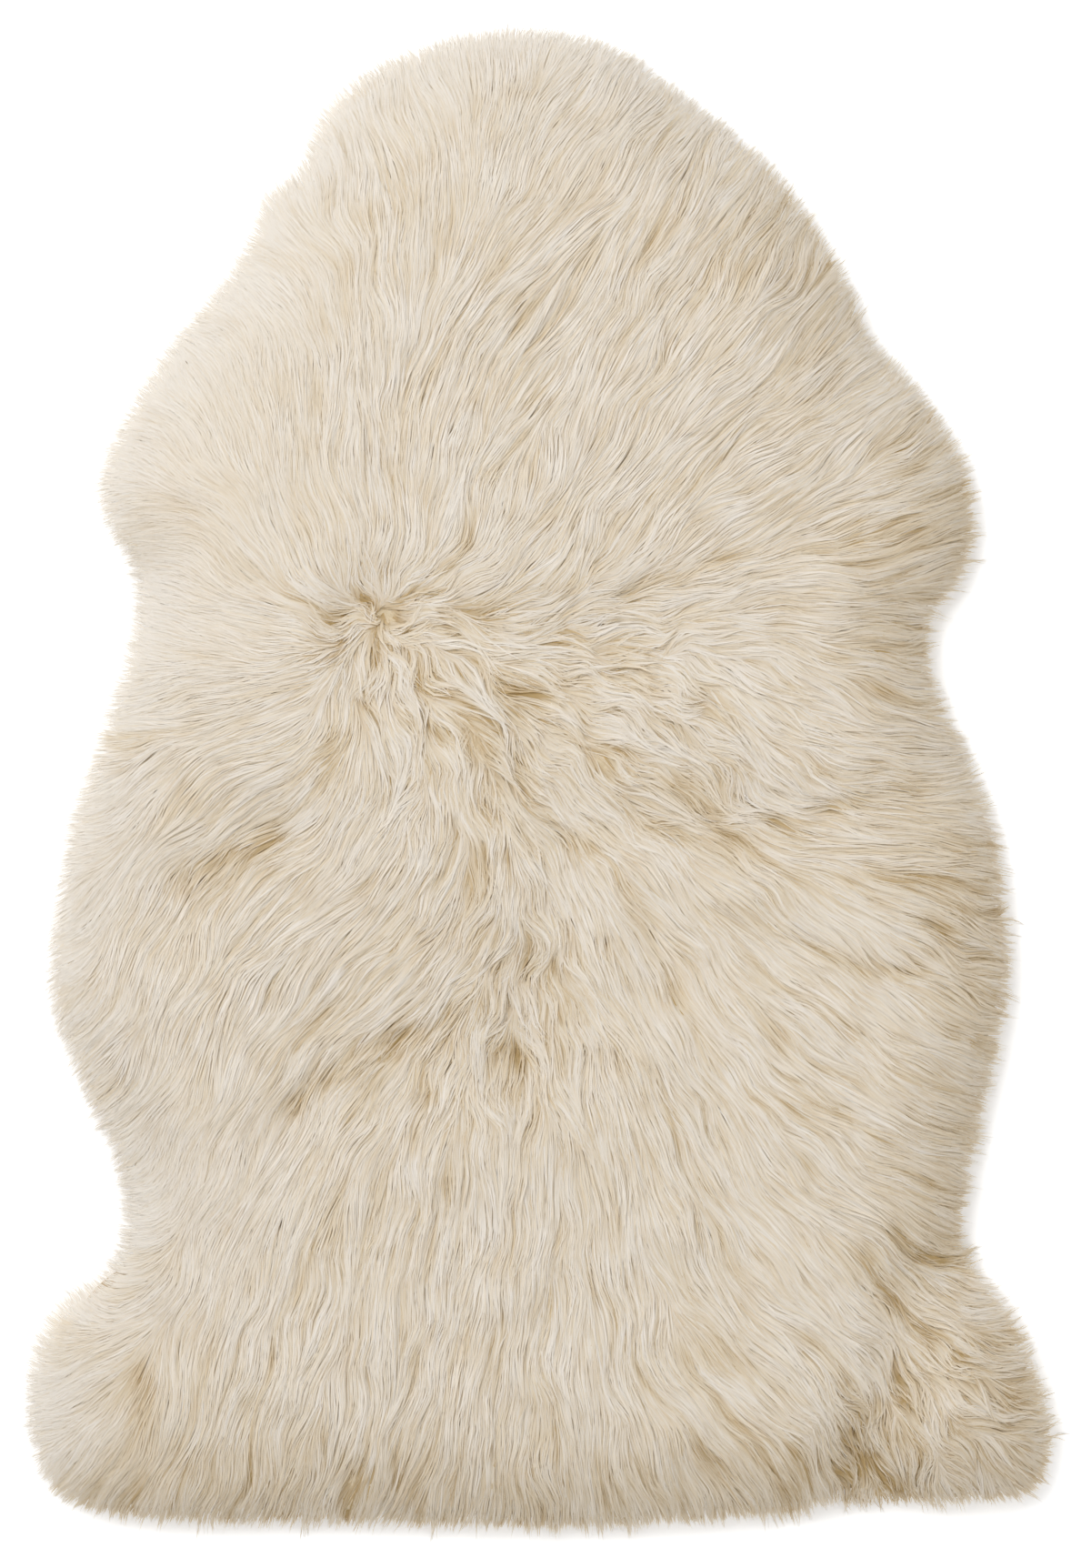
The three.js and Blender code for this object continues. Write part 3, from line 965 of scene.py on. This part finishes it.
def heights(strands, xy, wisp_side):
    """How high each point of the strands lies: about the wool's surface, and hanging at the rim."""
    plain, curl = strands.plain, strands.curl
    level = plain * (LEVEL["tuft"] * vary(strands.tuft) + LEVEL["wisp"] * vary(strands.wisp))
    level = level + amount(LEVEL["low_in_the_pile"], plain) * strands.depth
    ground_level = amount(LEVEL["ground"], plain) + LEVEL["each_ground"] * rng.random(strands.count)
    level = np.where(strands.ground, ground_level, level)
    rise = (LEVEL["rise"] + LEVEL["plain_rise"] * plain + LEVEL["curly_rise"] * curl)[:, None]
    above = level[:, None] + rise * (ALONG - 0.75)
    above = above + LEVEL["tucked_root"] * np.clip(1 - ALONG / 0.2, 0, 1) ** 2
    above = above + amount(LEVEL["lock"], plain[:, None]) * lock_grid(xy)
    above = above + amount(LEVEL["wisp_side"], curl[:, None]) * wisp_side
    near_rim = np.clip(1 - inside_grid(xy) / 13, 0, 1.3)
    hang = LEVEL["hang"] * rng.random(strands.count)[:, None] * near_rim**2
    in_crease = crease_grid(xy) * fade(LEVEL["crease_at_root"], LEVEL["crease_at_tip"])
    return np.clip(wool_height(xy) + above + hang + in_crease, LOWEST, HIGHEST)


def strand_tone(strands):
    """Each strand's own tone: random, and yellower and darker low in the pile and on the ground, partly as
    painted shade.
    """
    plain = strands.plain
    groups = TONE["tuft"] * vary(strands.tuft) + TONE["wisp"] * vary(strands.wisp)
    # deeper and ground strands yellower and darker, partly painted shade
    tone = TONE["usual"] + TONE["low_in_the_pile"] * strands.depth + plain * groups
    tone = np.where(strands.ground, tone + TONE["ground"] * plain, tone)
    return tone + (0.01 + TONE["strand"] * plain) * rng.normal(0, 1, strands.count)


def tones(strands, xy, wisp_side, at_rim):
    """The tone along each strand, with painted shade and painted light in it."""
    plain, curl, jagged = strands.plain[:, None], strands.curl[:, None], strands.jagged[:, None]
    inside = inside_grid(xy)
    lock = lock_grid(xy)
    tone = strand_tone(strands)[:, None]
    # painted highlight on lock crowns, painted shade between locks
    tone = tone + plain * (TONE["lock"] * lock + TONE["painted_shade_between_locks"] * np.clip(-lock - 0.4, 0, 1.4))
    # fluffy wool paler, partly painted light
    tone = tone + TONE["fluff"] * strands.fluff[:, None]
    # painted shade near the jagged rim, painted light near the soft rim
    tone = tone + TONE["jagged_edge"] * jagged * np.clip(1 - inside / 80, 0, 1)
    tone = tone + TONE["soft_edge"] * (1 - jagged) * np.clip(1 - inside / 50, 0, 1)
    # darker in creases: painted shade, partly the yellower inside
    tone = tone + fade(TONE["crease_at_root"], TONE["crease_at_tip"]) * crease_grid(xy)
    # painted shade in the troughs
    tone = tone + TONE["painted_shade_in_troughs"] * trough_grid(xy)
    # painted shade at curly roots
    tone = tone + TONE["painted_shade_at_curly_roots"] * np.minimum(curl, 1) * (1 - ALONG) ** 2
    # painted shade on the sides of curly wisps
    tone = tone + amount(TONE["wisp_side"], curl) * (wisp_side - 0.25 * plain)
    # painted highlight on curly tips
    tone = tone + TONE["painted_highlight_on_curly_tips"] * curl * ALONG**3
    tone = tone + TONE["rim_tip"] * at_rim[:, None] * ALONG**4
    return np.clip(tone, 0.03, 0.97)


def grow_strands():
    """Every strand's middle line in space, its tone from 0 to 1 along it and its width."""
    strands = Strands()
    xy, at_rim = comb(strands)
    xy, wisp_side = gathered(strands, waved(strands, xy))
    z = heights(strands, xy, wisp_side)
    tone = tones(strands, xy, wisp_side, at_rim)
    ground_width = rng.uniform(*GROUND_WIDTH, strands.count)
    other_width = rng.uniform(*STRAND_WIDTH, strands.count)
    width = np.where(strands.ground, ground_width, other_width)
    return np.concatenate([xy, z[..., None]], axis=-1), tone, width


WIDTH_ALONG = ((0, 0.25, 0.7, 1), (0.3, 1.0, 0.85, 0.0))  # shares of the length, and the width there
MAP_HALF = 0.01  # half of a strand's width in its map
NORMAL_SPREAD = 0.03  # how much the way that strands face differs at random


def ribbon_outline(points, width, normal):
    """Two corners for each point of a strand but the last, and one at its tip."""
    ahead = unit(np.gradient(points, axis=1))
    side = unit(np.cross(ahead, normal))
    half = (width[:, None] * np.interp(ALONG, *WIDTH_ALONG) / 2)[..., None] * side
    pairs = np.stack([points - half, points + half], axis=2)[:, :STRAND_STEPS]
    body = pairs.reshape(len(points), 2 * STRAND_STEPS, 3)
    return np.concatenate([body, points[:, -1:]], axis=1)


def twice_but_tip(values):
    """Values along the strands for the corners of ribbon_outline."""
    body, tip = values[:, :STRAND_STEPS], values[:, STRAND_STEPS:]
    return np.concatenate([np.repeat(body, 2, axis=1), tip], axis=1)


def ribbons(name, points, tone, width, material):
    """One mesh of flat tapered strands, each ending in a point, shaded mostly as the wool's surface lies."""
    steps = STRAND_STEPS
    count = len(points)
    normal = unit(normal_grid(points[..., :2]) + rng.normal(0, NORMAL_SPREAD, (count, 1, 3)))
    vertices = ribbon_outline(points, width, normal)

    k = np.arange(steps - 1) * 2
    quads = np.stack([k, k + 1, k + 3, k + 2], axis=1)
    pattern = np.concatenate([quads.ravel(), [2 * steps - 2, 2 * steps - 1, 2 * steps]])
    per = 2 * steps + 1
    loops = (np.arange(count)[:, None] * per + pattern).ravel()
    starts = (np.arange(count)[:, None] * len(pattern) + np.arange(steps) * 4).ravel()

    across = np.append(np.tile([-MAP_HALF, MAP_HALF], steps), 0.0)
    uv = np.empty((count, len(pattern), 2))
    uv[..., 0] = twice_but_tip(tone)[:, pattern] + across[pattern]
    uv[..., 1] = twice_but_tip(ALONG[None])[0, pattern]
    normals = twice_but_tip(normal).reshape(-1, 3)
    return add_mesh(name, vertices.reshape(-1, 3), loops, starts, material, uv.reshape(-1, 2), normals)


def make_wool():
    """The fleece. Each piece has its share of the strands from all over the pelt."""
    points, tone, width = grow_strands()
    order = rng.permutation(len(points))
    material = wool_material("long_wool")
    return [
        ribbons(f"wool_{i}", points[chosen], tone[chosen], width[chosen], material)
        for i, chosen in enumerate(np.array_split(order, WOOL_PIECES), 1)
    ]


# -------- the scene


PHOTO_SIZE = (1200, 1724)
PELT_MIDDLE = (599, 859)  # the photo's pixel over the origin that OUTLINE is charted from
MM_PER_PIXEL = 0.543
CAMERA_DISTANCE = 3.0  # metres above the rim
SENSOR = 36
FLOOR_REACH = 4.0  # metres from the middle
FLOOR_GAP = 0.5  # millimetres between the floor and the leather


def make_floor():
    """The white ground."""
    mesh = bpy.data.meshes.new("floor")
    r = FLOOR_REACH
    mesh.from_pydata([(-r, -r, 0), (r, -r, 0), (r, r, 0), (-r, r, 0)], [], [(0, 1, 2, 3)])
    mesh.materials.append(floor_material())
    floor = bpy.data.objects.new("floor", mesh)
    floor.location.z = -FLOOR_GAP * MM
    bpy.context.scene.collection.objects.link(floor)


def make_camera():
    """Straight above, with the photographed frame at the height of the rim."""
    data = bpy.data.cameras.new("camera")
    data.sensor_fit = "VERTICAL"
    data.sensor_height = SENSOR
    frame_height = PHOTO_SIZE[1] * MM_PER_PIXEL * MM
    data.lens = SENSOR * CAMERA_DISTANCE / frame_height
    camera = bpy.data.objects.new("camera", data)
    x = (PHOTO_SIZE[0] / 2 - PELT_MIDDLE[0]) * MM_PER_PIXEL - MIDDLE[0]
    y = -(PHOTO_SIZE[1] / 2 - PELT_MIDDLE[1]) * MM_PER_PIXEL - MIDDLE[1]
    camera.location = (x * MM, y * MM, CAMERA_DISTANCE + RIM_HEIGHT * MM)
    bpy.context.scene.collection.objects.link(camera)
    bpy.context.scene.camera = camera


def area_light(name, place, size, power):
    """A square light at a place in metres, aimed at the middle of the pelt."""
    data = bpy.data.lights.new(name, "AREA")
    data.size = size
    data.energy = power
    light = bpy.data.objects.new(name, data)
    light.location = place
    to_middle = -light.location
    light.rotation_euler = to_middle.to_track_quat("-Z", "Y").to_euler()
    bpy.context.scene.collection.objects.link(light)


def make_lights():
    """A key from the upper left, a weak fill opposite it, and white all round."""
    area_light("key", (-1.05, 1.05, 2.8), size=1.7, power=69)
    area_light("fill", (1.6, -1.2, 2.6), size=2.2, power=16)
    world = bpy.data.worlds.new("studio")
    world.use_nodes = True
    background = world.node_tree.nodes["Background"]
    background.inputs["Color"].default_value = (1, 1, 1, 1)
    background.inputs["Strength"].default_value = 0.69
    bpy.context.scene.world = world
    bpy.context.scene.view_settings.view_transform = "Standard"


make_camera()
make_lights()
make_floor()
skin, skin_size, skin_area = make_skin()
undercoat = make_undercoat()
wool = make_wool()
for piece in (undercoat, *wool):
    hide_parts("pelt")
